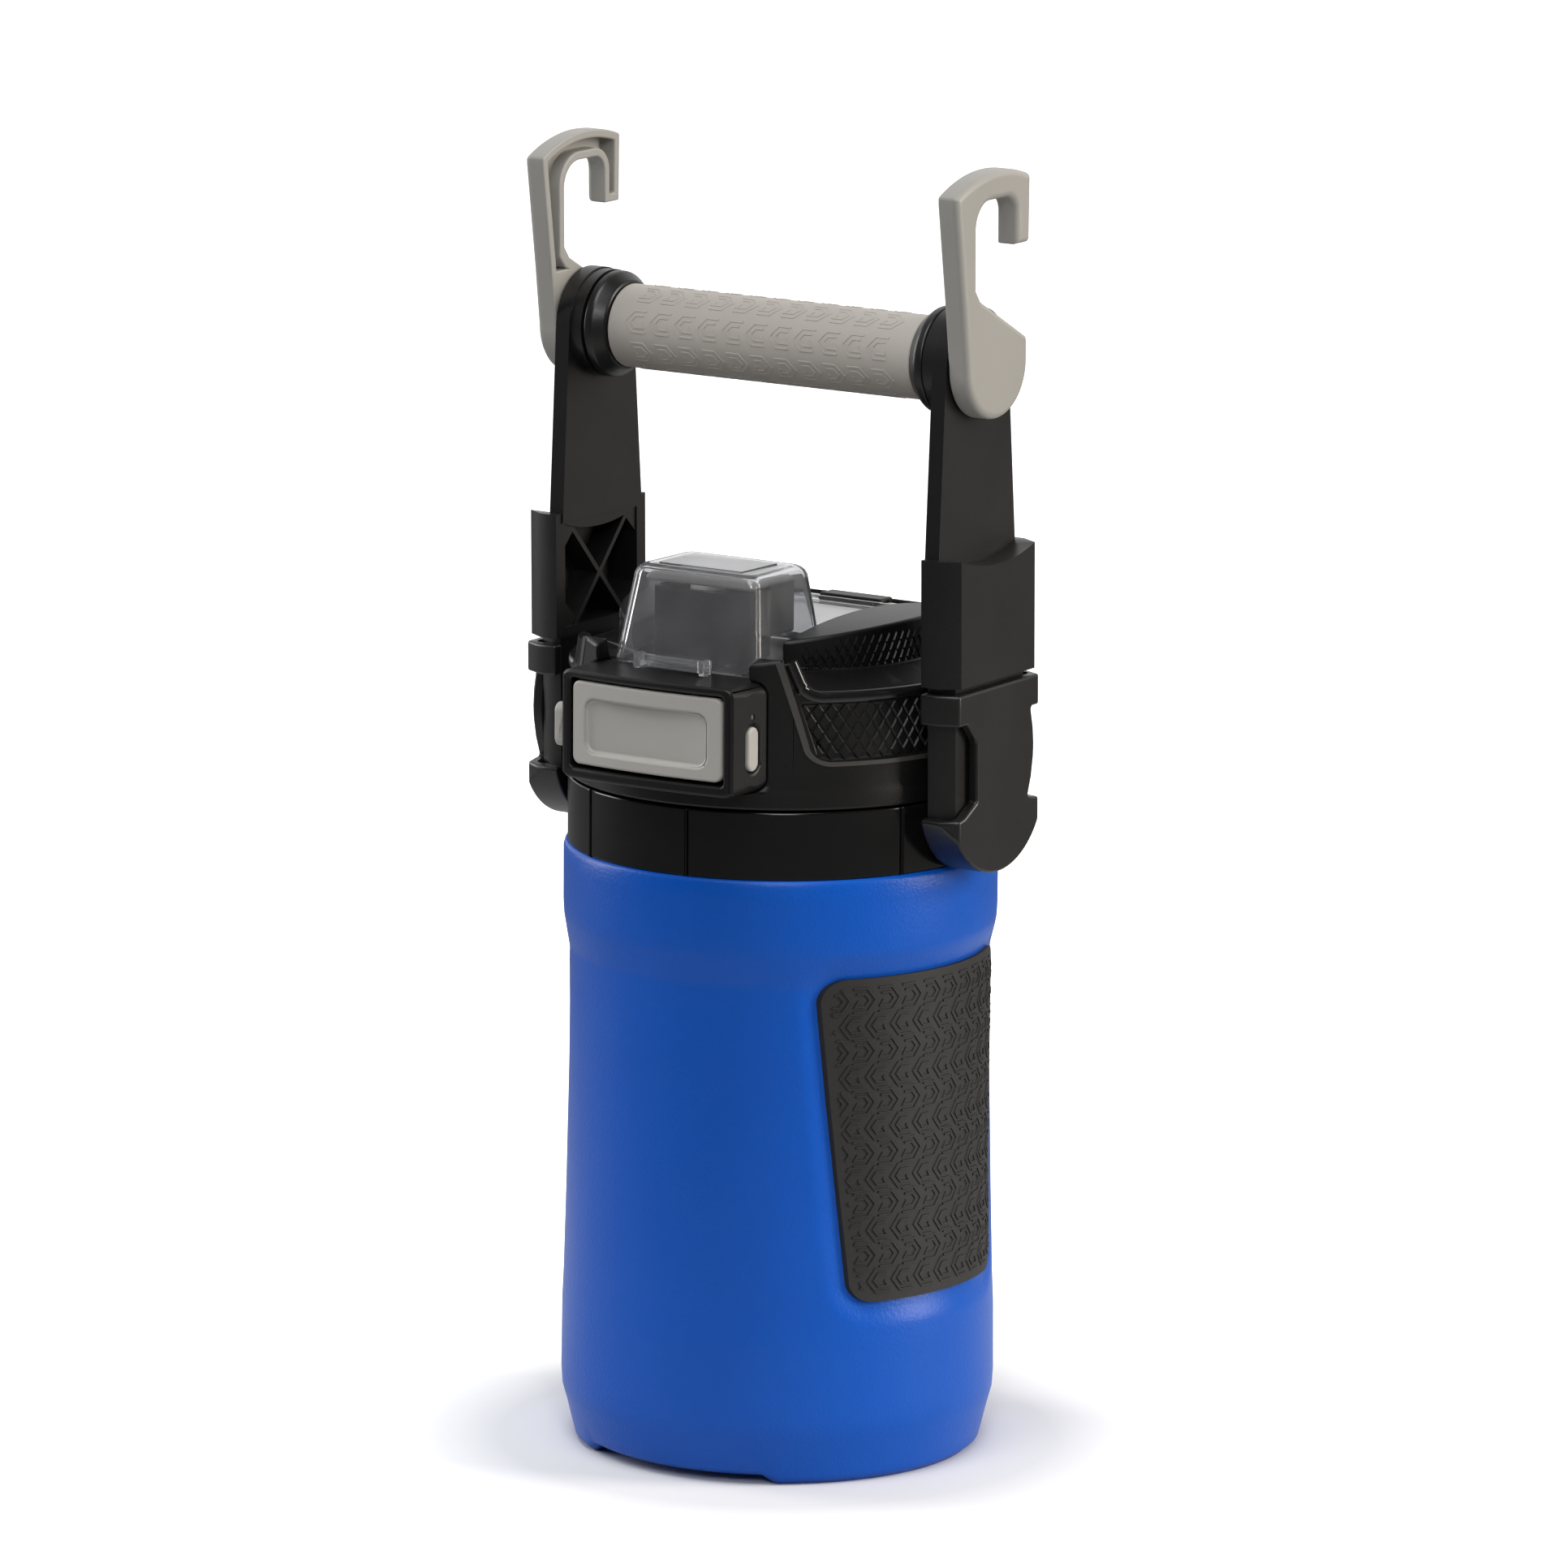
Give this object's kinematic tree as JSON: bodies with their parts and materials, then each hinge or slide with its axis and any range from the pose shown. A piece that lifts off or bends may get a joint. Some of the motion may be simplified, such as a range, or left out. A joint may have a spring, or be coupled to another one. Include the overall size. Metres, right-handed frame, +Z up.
{
  "type": "insulated water jug",
  "caption": "Insulated jug with a twist-off lid, a push-button flip cover over a spout, a swinging carry handle and fold-out hanging hooks.",
  "frame": {"origin": "centre of the base, on the floor", "axes": "+Z up along the jug's axis; the spout and its button face -Y; the handle's pegs lie along X"},
  "size_m": [0.1578, 0.1402, 0.3975],
  "materials": {
    "shell": "fine texture",
    "foam": "cellular",
    "liner": "smooth",
    "collar": "polished",
    "lid": "fine texture",
    "frame": "satin",
    "panel": "moulded grip relief",
    "grip": "moulded grip relief",
    "hook": "satin",
    "clear": "clear moulded plastic",
    "seal": "silicone",
    "steel": "plain"
  },
  "bodies": {
    "jug": {"outer_shell": "shell", "insulation_foam": "foam", "inner_liner": "liner", "foam_plug": "shell", "collar_ring": "collar", "grip_panel_right": "panel", "grip_panel_left": "panel"},
    "handle": {"handle_arm_right": "frame", "handle_arm_left": "frame", "hub_bracket_right": "frame", "hub_bracket_left": "frame", "grip_axle": "steel", "grip_core": "frame", "grip_sleeve": "grip", "grip_flange_right": "frame", "grip_flange_left": "frame", "axle_clips": "steel"},
    "hook_r": {"hook_right": "hook"},
    "hook_l": {"hook_left": "hook"},
    "lid_seal": {"lid_gasket": "seal"},
    "lid": {"lid_shell": "lid", "lid_plug": "lid", "lid_foam": "foam", "vent_valve": "seal", "spout": "collar", "button_housing": "lid", "hinge_knuckle": "lid", "cover_hinge_pin": "steel", "button_pin": "steel", "button_springs": "steel"},
    "cover": {"spout_cover": "clear", "cover_cap": "hook", "cover_seal": "seal"},
    "button": {"push_button": "hook"},
    "lock": {"lock_slider": "hook"}
  },
  "joints": [
    {"name": "handle_swing", "type": "hinge", "parent": "jug", "child": "handle", "pos_m": [0, 0, 0.1965], "axis": [1, 0, 0], "range_deg": [-130, 130]},
    {"name": "hook_right_fold", "type": "hinge", "parent": "handle", "child": "hook_r", "pos_m": [0, -0.00224, 0.33928], "axis": [1, 0, 0], "range_deg": [0, 180]},
    {"name": "hook_left_fold", "type": "hinge", "parent": "handle", "child": "hook_l", "pos_m": [0, -0.00224, 0.33928], "axis": [1, 0, 0], "range_deg": [0, 180]},
    {"name": "lid_lift", "type": "slide", "parent": "jug", "child": "lid_seal", "axis": [0, 0, 1], "range_m": [0, 0.042]},
    {"name": "lid_turn", "type": "hinge", "parent": "lid_seal", "child": "lid", "pos_m": [0, 0, 0.206], "axis": [0, 0, 1], "range_deg": [0, 40]},
    {"name": "cover_flip", "type": "hinge", "parent": "lid", "child": "cover", "pos_m": [0, 0.04, 0.2532], "axis": [-1, 0, 0], "range_deg": [0, 42]},
    {"name": "button_press", "type": "hinge", "parent": "lid", "child": "button", "pos_m": [0, -0.0618, 0.237], "axis": [1, 0, 0], "range_deg": [0, 4], "stiffness_Nm_per_rad": 0.6, "springref_deg": -2.86},
    {"name": "lock_slide", "type": "slide", "parent": "lid", "child": "lock", "axis": [-1, 0, 0], "range_m": [-0.005, 0]}
  ]
}
